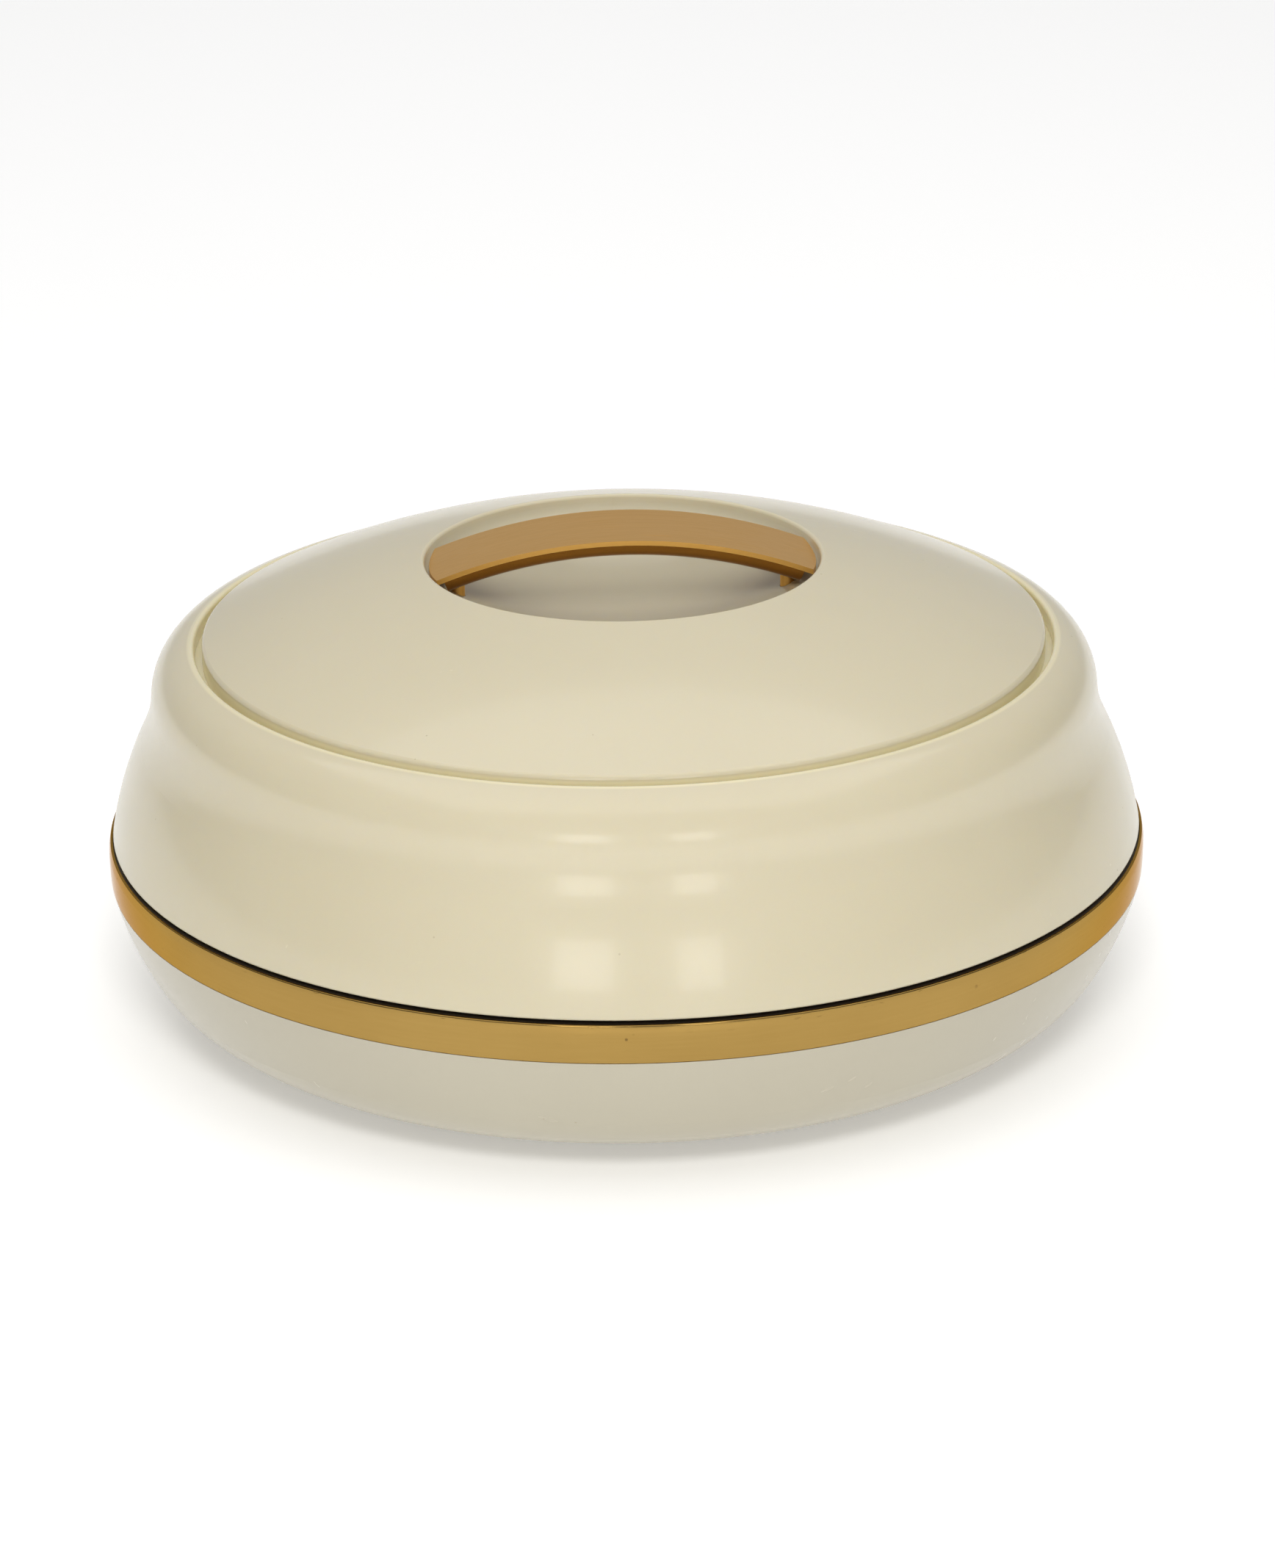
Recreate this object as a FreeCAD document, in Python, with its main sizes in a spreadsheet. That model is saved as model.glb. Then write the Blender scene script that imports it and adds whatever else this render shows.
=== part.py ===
import FreeCAD, Part

import math
import os

import Sketcher

# Insulated chapati casserole: a foam-filled base with a steel bowl, and a lid that lifts off.
# Millimetres. The origin is at the centre of the foot, on the table, with +Z up.
# The handle's strap runs along X, and its finger gap opens along Y.

SIZES = {
    # Base, outside
    "foot_height": 5.0,
    "foot_inset": 11.0,
    "foot_width": 5.0,
    "foot_draft": 0.6,
    "band_radius": 150.5,
    "band_height": 10.9,
    "band_wall": 1.2,
    "band_relief": 0.3,
    "flank_radius": 80.0,
    "flank_start": 13.0,
    "flank_end": 30.0,
    "turn_radius": 28.0,
    "bowl_wall": 2.5,
    # Base, rim and steel bowl
    "ledge_sink": 0.3,
    "ledge_wall": 2.2,
    "rim_step": 11.5,
    "neck_height": 14.0,
    "neck_wall": 2.5,
    "neck_draft": 1.0,
    "rib_height": 4.5,
    "rib_wall": 2.4,
    "steel_wall": 0.8,
    "mouth_inset": 12.5,
    "flange_skirt": 1.6,
    "floor_foam": 8.5,
    "well_draft": 8.0,
    "well_corner": 22.0,
    # Filling holes of the foam
    "plug_radius": 8.0,
    "plug_head": 1.5,
    "plug_overlap": 2.5,
    # Lid, outside
    "lid_gap": 0.8,
    "lid_inset": 1.3,
    "lid_wall": 2.5,
    "skirt_radius": 100.0,
    "skirt_start": 10.0,
    "skirt_end": 27.0,
    "cove_radius": 35.3,
    "cove_end": 3.0,
    "shoulder_radius": 15.2,
    "shoulder_end": 81.0,
    "groove_width": 2.3,
    "groove_depth": 5.0,
    "ledge_width": 12.0,
    "disc_rise": 1.1,
    "disc_wall": 2.5,
    "dome_radius": 285.0,
    # Recess and handle
    "recess_radius": 56.8,
    "recess_draft": 0.7,
    "recess_step": 4.6,
    "recess_depth": 21.6,
    "strap_gap": 1.5,
    "strap_sink": 2.2,
    "strap_rise": 10.9,
    "strap_width": 29.0,
    "strap_wall": 1.4,
    "grip_width": 22.0,
    "grip_depth": 5.0,
    "grip_corner": 4.0,
    "grip_half_length": 44.0,
    "post_offset": 47.4,
    "post_radius": 2.2,
    "post_bore_depth": 7.0,
    "post_sink": 0.3,
    "boss_radius": 5.2,
    "boss_stand": 0.5,
    "screw_radius": 1.4,
    "screw_head_radius": 3.0,
    "screw_head_height": 2.2,
    "screw_grip": 5.5,
    "washer_radius": 4.2,
    "washer_wall": 0.8,
    # Lid, inside
    "liner_wall": 2.2,
    "spigot_gap": 1.0,
    "spigot_depth": 8.0,
    "spigot_width": 8.0,
    "ceiling_draft": 8.0,
    "ceiling_corner": 9.0,
    "lid_foam_depth": 8.0,
    # Rounded edges
    "foot_round": 0.8,
    "band_round": 0.5,
    "neck_fillet": 1.5,
    "steel_round": 0.7,
    "plug_round": 0.6,
    "lid_edge_round": 0.7,
    "lip_round": 1.0,
    "disc_round": 1.4,
    "recess_round": 0.9,
    "dish_fillet": 5.0,
    "grip_shoulder": 0.6,
    "spigot_round": 0.8,
    # Clearances
    "seat_gap": 0.1,
    "flange_gap": 0.3,
    "foam_gap": 0.3,
    "lid_clearance": 0.3,
    "screw_gap": 0.15,
}

FULL_TURN = 360.0
TOUCH = 1e-4

# How sketch constraints name the ends of an edge, and the sketch's own origin and axes
START, END, CENTRE = 1, 2, 3
ORIGIN, LEVEL_AXIS, VERTICAL_AXIS = -1, -1, -2


class Size:
    """A length or an angle, kept as the text of a formula on the sheet."""

    def __init__(self, text):
        self.text = text

    def __add__(self, other):
        return Size(f"({self.text} + {formula(other)})")

    def __radd__(self, other):
        return Size(f"({formula(other)} + {self.text})")

    def __sub__(self, other):
        return Size(f"({self.text} - {formula(other)})")

    def __rsub__(self, other):
        return Size(f"({formula(other)} - {self.text})")

    def __mul__(self, other):
        return Size(f"({self.text} * {formula(other)})")

    def __rmul__(self, other):
        return Size(f"({formula(other)} * {self.text})")

    def __truediv__(self, other):
        return Size(f"({self.text} / {formula(other)})")


def formula(value):
    return value.text if isinstance(value, Size) else repr(value)


def number(value):
    """What a formula comes to now."""
    return float(sheet.evalExpression(formula(value)))


def sine(angle):
    return Size(f"sin({formula(angle)})")


def cosine(angle):
    return Size(f"cos({formula(angle)})")


def tangent(angle):
    return Size(f"tan({formula(angle)})")


def leg(long_side, short_side):
    """The other short side of a right triangle."""
    return Size(f"sqrt({formula(long_side * long_side)} - {formula(short_side * short_side)})")


def sheet_of(document, sizes):
    table = document.addObject("Spreadsheet::Sheet", "Sizes")
    for row, (alias, value) in enumerate(sizes.items(), start=1):
        table.set(f"A{row}", alias)
        table.set(f"B{row}", str(value))
        table.setAlias(f"B{row}", alias)
    document.recompute()
    return table


doc = FreeCAD.newDocument("casserole")
sheet = sheet_of(doc, SIZES)


def size(alias):
    return Size(f"Sizes.{alias}")


# Heights and radii that several pieces share, from the foot upwards

flank_run = size("flank_radius") * (cosine(size("flank_start")) - cosine(size("flank_end")))
flank_drop = size("flank_radius") * (sine(size("flank_end")) - sine(size("flank_start")))
turn_run = size("turn_radius") * cosine(size("flank_end"))
turn_drop = size("turn_radius") * (1 - sine(size("flank_end")))

bowl_floor = size("foot_height") + size("bowl_wall")
band_bottom = size("foot_height") + turn_drop + flank_drop
band_top = band_bottom + size("band_height")
bowl_radius = size("band_radius") - size("band_relief")
flank_centre_across = bowl_radius - size("flank_radius") * cosine(size("flank_start"))
flank_centre_up = band_bottom + size("flank_radius") * sine(size("flank_start"))
turn_centre_across = bowl_radius - flank_run - turn_run
turn_centre_up = size("foot_height") + size("turn_radius")
foot_outer = turn_centre_across - size("foot_inset")

seat_radius = size("band_radius") - size("band_wall") - size("seat_gap")
inner_seat = seat_radius - size("bowl_wall")
ledge_top = band_top - size("ledge_sink")
ledge_bottom = ledge_top - size("ledge_wall")
rib_bottom = ledge_bottom - size("rib_height")
neck_root = size("band_radius") - size("rim_step")
neck_edge = neck_root - size("neck_draft")
neck_top = ledge_top + size("neck_height")

steel_top = neck_top + size("steel_wall")
steel_underside = bowl_floor + size("floor_foam")
mouth_radius = neck_root - size("mouth_inset")
well_centre_up = steel_underside + size("steel_wall") + size("well_corner")
well_slope = tangent(size("well_draft"))
well_tangent_up = well_centre_up - size("well_corner") * sine(size("well_draft"))
well_centre_across = (
    mouth_radius
    - size("well_corner") * cosine(size("well_draft"))
    - well_slope * (steel_top - well_tangent_up)
)

lid_edge = size("band_radius") - size("lid_inset")
lid_bottom = band_top + size("lid_gap")
skirt_centre_across = lid_edge - size("skirt_radius") * cosine(size("skirt_start"))
skirt_centre_up = lid_bottom - size("skirt_radius") * sine(size("skirt_start"))
cove_reach = size("skirt_radius") + size("cove_radius")
cove_centre_across = skirt_centre_across + cove_reach * cosine(size("skirt_end"))
cove_centre_up = skirt_centre_up + cove_reach * sine(size("skirt_end"))
shoulder_reach = size("cove_radius") + size("shoulder_radius")
shoulder_centre_across = cove_centre_across - shoulder_reach * cosine(size("cove_end"))
shoulder_centre_up = cove_centre_up - shoulder_reach * sine(size("cove_end"))
lip_radius = shoulder_centre_across + size("shoulder_radius") * cosine(size("shoulder_end"))
lip_up = shoulder_centre_up + size("shoulder_radius") * sine(size("shoulder_end"))

disc_seat = lip_up - size("groove_depth")
disc_radius = lip_radius - size("groove_width")
disc_edge_up = lip_up + size("disc_rise")
dome_centre_up = disc_edge_up - leg(size("dome_radius"), disc_radius)
recess_rim_up = dome_centre_up + leg(size("dome_radius"), size("recess_radius"))
dish_edge = size("recess_radius") - size("recess_draft")
dish_edge_up = recess_rim_up - size("recess_step")
dish_floor = recess_rim_up - size("recess_depth")
dish_rise = size("recess_depth") - size("recess_step")
dish_radius = (dish_edge * dish_edge + dish_rise * dish_rise) / (2 * dish_rise)
dish_centre_up = dish_floor + dish_radius

strap_reach = size("recess_radius") - size("strap_gap")
strap_radius = (strap_reach * strap_reach + size("strap_rise") * size("strap_rise")) / (2 * size("strap_rise"))
strap_centre_up = recess_rim_up - size("strap_sink") + size("strap_rise") - strap_radius

post_hole = size("post_radius") + size("seat_gap")
boss_inner = size("post_offset") - size("boss_radius")
post_seat = dish_centre_up - leg(dish_radius, size("post_offset") - post_hole) - size("post_sink")
boss_bottom = dish_centre_up - leg(dish_radius + size("disc_wall"), boss_inner) - size("boss_stand")
screw_head_top = boss_bottom - size("washer_wall")
screw_head_bottom = screw_head_top - size("screw_head_height")

flange_bottom = steel_top + size("lid_clearance")
flange_top = flange_bottom + size("liner_wall")
spigot_bottom = flange_bottom - size("spigot_depth")
spigot_radius = mouth_radius - well_slope * (steel_top - spigot_bottom) - size("spigot_gap")
ceiling = dish_floor - size("disc_wall") - size("lid_foam_depth") - size("liner_wall")
ceiling_slope = tangent(size("ceiling_draft"))
ceiling_centre_up = ceiling - size("ceiling_corner")
ceiling_tangent_up = ceiling_centre_up + size("ceiling_corner") * sine(size("ceiling_draft"))
ceiling_centre_across = (
    spigot_radius
    - size("spigot_width")
    - size("ceiling_corner") * cosine(size("ceiling_draft"))
    - ceiling_slope * (ceiling_tangent_up - spigot_bottom)
)


def on_bowl(inset):
    """Where the bowl's flank and turn meet, at a depth below the outside."""
    radius = size("turn_radius") - inset
    across = turn_centre_across + radius * cosine(size("flank_end"))
    return across, turn_centre_up - radius * sine(size("flank_end"))


def flank_height(across, inset):
    """The height of the bowl's flank at a radius, at a depth below the outside."""
    return flank_centre_up - leg(size("flank_radius") - inset, across - flank_centre_across)


def skirt_reach(up, inset):
    """The radius of the lid's skirt at a height, at a depth below the outside."""
    return skirt_centre_across + leg(size("skirt_radius") - inset, up - skirt_centre_up)


def on_skirt(inset):
    """Where the lid's skirt and cove meet, at a depth below the outside."""
    radius = size("skirt_radius") - inset
    across = skirt_centre_across + radius * cosine(size("skirt_end"))
    return across, skirt_centre_up + radius * sine(size("skirt_end"))


def on_cove(inset):
    """Where the lid's cove and shoulder meet, at a depth below the outside."""
    radius = size("shoulder_radius") - inset
    across = shoulder_centre_across + radius * cosine(size("cove_end"))
    return across, shoulder_centre_up + radius * sine(size("cove_end"))


def shoulder_height(across, inset):
    return shoulder_centre_up + leg(size("shoulder_radius") - inset, across - shoulder_centre_across)


def dome_height(across, inset):
    return dome_centre_up + leg(size("dome_radius") - inset, across)


def dish_height(across, depth):
    """The height of the finger dish at a radius, at a depth below its upper face."""
    return dish_centre_up - leg(dish_radius + depth, across)


def on_well(depth):
    """Where the steel bowl's corner meets its wall, at a depth outside its inner face."""
    radius = size("well_corner") + depth
    across = well_centre_across + radius * cosine(size("well_draft"))
    return across, well_centre_up - radius * sine(size("well_draft"))


def well_wall(up, depth):
    """The radius of the steel bowl's wall at a height, at a depth outside its inner face."""
    across, start_up = on_well(depth)
    return across + well_slope * (up - start_up)


def on_ceiling(depth):
    """Where the liner's corner meets its wall, at a depth outside its inner face."""
    radius = size("ceiling_corner") + depth
    across = ceiling_centre_across + radius * cosine(size("ceiling_draft"))
    return across, ceiling_centre_up + radius * sine(size("ceiling_draft"))


def liner_side(up, depth):
    """The radius of the liner's inner wall at a height, at a depth outside its inner face."""
    across, start_up = on_ceiling(depth)
    return across + ceiling_slope * (start_up - up)


# Tools for sketches and features


def new_body(label):
    body = doc.addObject("PartDesign::Body", label)
    body.Label = label
    body.AllowCompound = True
    return body


def new_sketch(body, role, up=None):
    sketch = body.newObject("Sketcher::SketchObject", body.Label + "_sketch")
    plane = next(feature for feature in body.Origin.OriginFeatures if feature.Role == role)
    sketch.AttachmentSupport = [(plane, "")]
    sketch.MapMode = "FlatFace"
    if up is not None:
        sketch.setExpression("AttachmentOffset.Base.z", formula(up))
    return sketch


def bind(sketch, constraint, name, value):
    index = sketch.addConstraint(constraint)
    sketch.renameConstraint(index, name)
    sketch.setExpression(f"Constraints.{name}", formula(value))


def hold(sketch, edge, end, across, up):
    """Ties a point of the sketch to its two formulas."""
    for kind, axis, value in (("DistanceX", VERTICAL_AXIS, across), ("DistanceY", LEVEL_AXIS, up)):
        distance = number(value)
        name = f"{kind}{edge}_{end}"
        if abs(distance) < TOUCH:
            sketch.addConstraint(Sketcher.Constraint("PointOnObject", edge, end, axis))
        elif distance > 0:
            bind(sketch, Sketcher.Constraint(kind, ORIGIN, START, edge, end, distance), name, value)
        else:
            bind(sketch, Sketcher.Constraint(kind, edge, end, ORIGIN, START, -distance), name, 0 - value)


def arc_between(start, end, radius, turn):
    """An arc under a half circle, that turns left or right on its way from start to end."""
    chord = end - start
    to_centre = math.sqrt(radius * radius - chord.Length * chord.Length / 4)
    aside = FreeCAD.Vector(-chord.y, chord.x, 0).normalize() * to_centre
    centre = (start + end) / 2 + (aside if turn == "left" else -aside)
    first, last = (start, end) if turn == "left" else (end, start)
    begin = math.atan2(first.y - centre.y, first.x - centre.x)
    finish = math.atan2(last.y - centre.y, last.x - centre.x)
    if finish < begin:
        finish += 2 * math.pi
    circle = Part.Circle(centre, FreeCAD.Vector(0, 0, 1), radius)
    return Part.ArcOfCircle(circle, begin, finish)


def draw_outline(sketch, corners):
    """A closed outline through corners (across, up), or (across, up, radius, turn) where an arc ends."""
    points = [FreeCAD.Vector(number(corner[0]), number(corner[1]), 0) for corner in corners]
    edges = []
    ends = []
    for index, corner in enumerate(corners):
        start, end = points[index - 1], points[index]
        if len(corner) == 2:
            edges.append(Part.LineSegment(start, end))
        else:
            edges.append(arc_between(start, end, number(corner[2]), corner[3]))
        backwards = len(corner) == 4 and corner[3] == "right"
        ends.append((END, START) if backwards else (START, END))
    first = sketch.addGeometry(edges, False)[0]
    for index, (_, last) in enumerate(ends):
        following = (index + 1) % len(ends)
        joint = Sketcher.Constraint("Coincident", first + index, last, first + following, ends[following][0])
        sketch.addConstraint(joint)
    for index, corner in enumerate(corners):
        hold(sketch, first + index, ends[index][1], corner[0], corner[1])
        if len(corner) == 4:
            radius = Sketcher.Constraint("Radius", first + index, number(corner[2]))
            bind(sketch, radius, f"radius{first + index}", corner[2])


def draw_circle(sketch, across, up, radius):
    centre = FreeCAD.Vector(number(across), number(up), 0)
    circle = Part.Circle(centre, FreeCAD.Vector(0, 0, 1), number(radius))
    index = sketch.addGeometry(circle, False)
    hold(sketch, index, CENTRE, across, up)
    bind(sketch, Sketcher.Constraint("Radius", index, number(radius)), f"radius{index}", radius)


def draw_pair(sketch, radius):
    """The same circle at both ends of the handle."""
    draw_circle(sketch, size("post_offset"), 0, radius)
    draw_circle(sketch, 0 - size("post_offset"), 0, radius)


def settle(body, feature):
    """Takes a new feature as the body's last, with its profile worked out."""
    body.Tip = feature
    doc.recompute()
    return feature


def revolve(body, corners):
    """Turns an outline about the casserole's own axis, with its seam away from the handle's ends."""
    sketch = new_sketch(body, "YZ_Plane")
    draw_outline(sketch, corners)
    feature = body.newObject("PartDesign::Revolution", body.Label + "_turned")
    feature.Profile = sketch
    feature.ReferenceAxis = (sketch, ["V_Axis"])
    feature.Angle = FULL_TURN
    return settle(body, feature)


def revolve_on_post(body, corners, bottom, top):
    """Turns an outline about a post's axis, and repeats it at the other end of the handle."""
    sketch = new_sketch(body, "XZ_Plane")
    draw_outline(sketch, corners)
    low = FreeCAD.Vector(number(size("post_offset")), number(bottom), 0)
    high = FreeCAD.Vector(number(size("post_offset")), number(top), 0)
    axis = sketch.addGeometry(Part.LineSegment(low, high), True)
    hold(sketch, axis, START, size("post_offset"), bottom)
    hold(sketch, axis, END, size("post_offset"), top)
    feature = body.newObject("PartDesign::Revolution", body.Label + "_turned")
    feature.Profile = sketch
    feature.ReferenceAxis = (sketch, ["Axis0"])
    feature.Angle = FULL_TURN
    settle(body, feature)
    pattern = body.newObject("PartDesign::PolarPattern", body.Label + "_pair")
    pattern.Originals = [feature]
    z_axis = next(item for item in body.Origin.OriginFeatures if item.Role == "Z_Axis")
    pattern.Axis = (z_axis, [""])
    pattern.Angle = FULL_TURN
    pattern.Occurrences = 2
    return settle(body, pattern)


def pad_level(body, corners, width):
    """Pads an outline of the XZ plane evenly to both sides."""
    sketch = new_sketch(body, "XZ_Plane")
    draw_outline(sketch, corners)
    feature = body.newObject("PartDesign::Pad", body.Label + "_pad")
    feature.Profile = sketch
    feature.SideType = "Symmetric"
    feature.setExpression("Length", formula(width))
    return settle(body, feature)


def pad_pair(body, radius, bottom, top):
    """Raises a round post at each end of the handle."""
    sketch = new_sketch(body, "XY_Plane", bottom)
    draw_pair(sketch, radius)
    feature = body.newObject("PartDesign::Pad", body.Label + "_posts")
    feature.Profile = sketch
    feature.setExpression("Length", formula(top - bottom))
    return settle(body, feature)


def clear_above(body, corners):
    """Takes away what stands inside an outline of the XZ plane, right across."""
    sketch = new_sketch(body, "XZ_Plane")
    draw_outline(sketch, corners)
    before = body.Shape.Volume
    feature = body.newObject("PartDesign::Pocket", body.Label + "_cleared")
    feature.Profile = sketch
    feature.SideType = "Symmetric"
    feature.Type = "ThroughAll"
    settle(body, feature)
    if body.Shape.Volume >= before:
        raise RuntimeError(f"{feature.Label} cut nothing")
    return feature


def pocket(body, sketch, length=None):
    """Cuts upwards from the sketch, through everything or to a length."""
    before = body.Shape.Volume
    feature = body.newObject("PartDesign::Pocket", body.Label + "_pocket")
    feature.Profile = sketch
    feature.Reversed = True
    if length is None:
        feature.Type = "ThroughAll"
    else:
        feature.setExpression("Length", formula(length))
    settle(body, feature)
    if body.Shape.Volume >= before:
        raise RuntimeError(f"{feature.Label} cut nothing")
    return feature


def pocket_pair(body, radius, up, length=None):
    sketch = new_sketch(body, "XY_Plane", up)
    draw_pair(sketch, radius)
    return pocket(body, sketch, length)


def round_edges(body, names, radius):
    base = body.Tip
    feature = body.newObject("PartDesign::Fillet", body.Label + "_round")
    feature.Base = (base, names)
    feature.setExpression("Radius", formula(radius))
    return settle(body, feature)


def circles(body):
    """The body's circular edges, each with its name."""
    found = []
    for index, edge in enumerate(body.Shape.Edges, start=1):
        if not edge.Degenerated and isinstance(edge.Curve, Part.Circle):
            found.append((f"Edge{index}", edge.Curve))
    return found


def ring_edges(body, rings):
    """The names of the circular edges at these radii and heights."""
    names = []
    for name, curve in circles(body):
        for across, up in rings:
            near = abs(curve.Radius - number(across)) < TOUCH
            if near and abs(curve.Center.z - number(up)) < TOUCH:
                names.append(name)
    if len(names) < len(rings):
        raise RuntimeError(f"{body.Label}: an edge to round was not found")
    return names


# The base


def make_outer_bowl():
    body = new_body("outer_bowl")
    foot_inner = foot_outer - size("foot_width")
    wall = size("bowl_wall")
    revolve(body, [
        (size("plug_radius"), size("foot_height")),
        (foot_inner, size("foot_height")),
        (foot_inner + size("foot_draft"), 0),
        (foot_outer - size("foot_draft"), 0),
        (foot_outer, size("foot_height")),
        (turn_centre_across, size("foot_height")),
        (*on_bowl(0), size("turn_radius"), "left"),
        (bowl_radius, band_bottom, size("flank_radius"), "left"),
        (seat_radius, band_bottom),
        (seat_radius, ledge_bottom),
        (inner_seat, ledge_bottom),
        (inner_seat, flank_height(inner_seat, wall)),
        (*on_bowl(wall), size("flank_radius") - wall, "right"),
        (turn_centre_across, bowl_floor, size("turn_radius") - wall, "right"),
        (size("plug_radius"), bowl_floor),
    ])
    foot_rings = [(foot_inner + size("foot_draft"), 0), (foot_outer - size("foot_draft"), 0)]
    round_edges(body, ring_edges(body, foot_rings), size("foot_round"))
    return body


def make_gold_band():
    body = new_body("gold_band")
    inner = seat_radius + size("seat_gap")
    revolve(body, [
        (inner, band_bottom),
        (size("band_radius"), band_bottom),
        (size("band_radius"), band_top),
        (inner, band_top),
    ])
    outer_rings = [(size("band_radius"), band_bottom), (size("band_radius"), band_top)]
    round_edges(body, ring_edges(body, outer_rings), size("band_round"))
    return body


def make_rim_collar():
    body = new_body("rim_collar")
    rib_outer = inner_seat - size("seat_gap")
    rib_inner = rib_outer - size("rib_wall")
    revolve(body, [
        (seat_radius, ledge_bottom),
        (seat_radius, ledge_top),
        (neck_root, ledge_top),
        (neck_edge, neck_top),
        (neck_edge - size("neck_wall"), neck_top),
        (neck_root - size("neck_wall"), ledge_bottom),
        (rib_inner, ledge_bottom),
        (rib_inner, rib_bottom),
        (rib_outer, rib_bottom),
        (rib_outer, ledge_bottom),
    ])
    round_edges(body, ring_edges(body, [(neck_root, ledge_top)]), size("neck_fillet"))
    return body


def make_steel_bowl():
    body = new_body("steel_bowl")
    wall = size("steel_wall")
    skirt_inner = neck_edge + size("flange_gap")
    skirt_bottom = neck_top - size("flange_skirt")
    revolve(body, [
        (0, steel_underside),
        (well_centre_across, steel_underside),
        (*on_well(wall), size("well_corner") + wall, "left"),
        (well_wall(neck_top, wall), neck_top),
        (skirt_inner, neck_top),
        (skirt_inner, skirt_bottom),
        (skirt_inner + wall, skirt_bottom),
        (skirt_inner + wall, steel_top),
        (mouth_radius, steel_top),
        on_well(0),
        (well_centre_across, steel_underside + wall, size("well_corner"), "right"),
        (0, steel_underside + wall),
    ])
    rings = [(mouth_radius, steel_top), (skirt_inner + wall, steel_top)]
    round_edges(body, ring_edges(body, rings), size("steel_round"))
    return body


def make_base_foam():
    body = new_body("base_foam")
    gap = size("foam_gap")
    outside = size("bowl_wall") + gap
    inside = size("steel_wall") + gap
    outer = inner_seat - gap
    neck_inner = size("neck_wall") + gap
    revolve(body, [
        (0, bowl_floor + gap),
        (turn_centre_across, bowl_floor + gap),
        (*on_bowl(outside), size("turn_radius") - outside, "left"),
        (outer, flank_height(outer, outside), size("flank_radius") - outside, "left"),
        (outer, rib_bottom - gap),
        (neck_root - neck_inner, rib_bottom - gap),
        (neck_root - neck_inner, ledge_bottom),
        (neck_edge - neck_inner, neck_top - gap),
        (well_wall(neck_top - gap, inside), neck_top - gap),
        on_well(inside),
        (well_centre_across, steel_underside - gap, size("well_corner") + inside, "right"),
        (0, steel_underside - gap),
    ])
    return body


def make_plug(label, under, wall):
    """A cap pushed up into a filling hole whose lower face is at a height."""
    body = new_body(label)
    shank = size("plug_radius") - size("seat_gap")
    head = size("plug_radius") + size("plug_overlap")
    revolve(body, [
        (0, under - size("plug_head")),
        (head, under - size("plug_head")),
        (head, under),
        (shank, under),
        (shank, under + wall),
        (0, under + wall),
    ])
    head_ring = [(head, under - size("plug_head"))]
    round_edges(body, ring_edges(body, head_ring), size("plug_round"))
    return body


# The lid


def make_lid_shell():
    body = new_body("lid_shell")
    wall = size("lid_wall")
    ledge_inner = lip_radius - size("ledge_width")
    groove_back = lip_radius + wall
    revolve(body, [
        (lid_edge, lid_bottom),
        (*on_skirt(0), size("skirt_radius"), "left"),
        (*on_cove(0), size("cove_radius"), "right"),
        (lip_radius, lip_up, size("shoulder_radius"), "left"),
        (lip_radius, disc_seat),
        (ledge_inner, disc_seat),
        (ledge_inner, disc_seat - wall),
        (groove_back, disc_seat - wall),
        (groove_back, shoulder_height(groove_back, wall)),
        (*on_cove(wall), size("shoulder_radius") - wall, "right"),
        (*on_skirt(wall), size("cove_radius") + wall, "left"),
        (skirt_reach(lid_bottom, wall), lid_bottom, size("skirt_radius") - wall, "right"),
    ])
    round_edges(body, ring_edges(body, [(lid_edge, lid_bottom)]), size("lid_edge_round"))
    round_edges(body, ring_edges(body, [(lip_radius, lip_up)]), size("lip_round"))
    return body


def upright_pair(label, radius, bottom, top):
    """Two round bars, one at each end of the handle."""
    bars = []
    for side in (1, -1):
        bar = doc.addObject("Part::Cylinder", label)
        bar.setExpression("Radius", formula(radius))
        bar.setExpression("Height", formula(top - bottom))
        bar.setExpression("Placement.Base.x", formula(side * size("post_offset")))
        bar.setExpression("Placement.Base.z", formula(bottom))
        bars.append(bar)
    return bars


def grouped(label, shapes):
    result = doc.addObject("Part::Compound", label)
    result.Links = shapes
    doc.recompute()
    return result


def fused(label, shapes):
    result = doc.addObject("Part::MultiFuse", label)
    result.Shapes = shapes
    doc.recompute()
    return result


def taken_from(label, base, tools):
    result = doc.addObject("Part::Cut", label)
    result.Base = base
    result.Tool = fused(label + "_tools", tools) if len(tools) > 1 else tools[0]
    doc.recompute()
    if result.Shape.Volume >= base.Shape.Volume:
        raise RuntimeError(f"{label} cut nothing")
    return result


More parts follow.
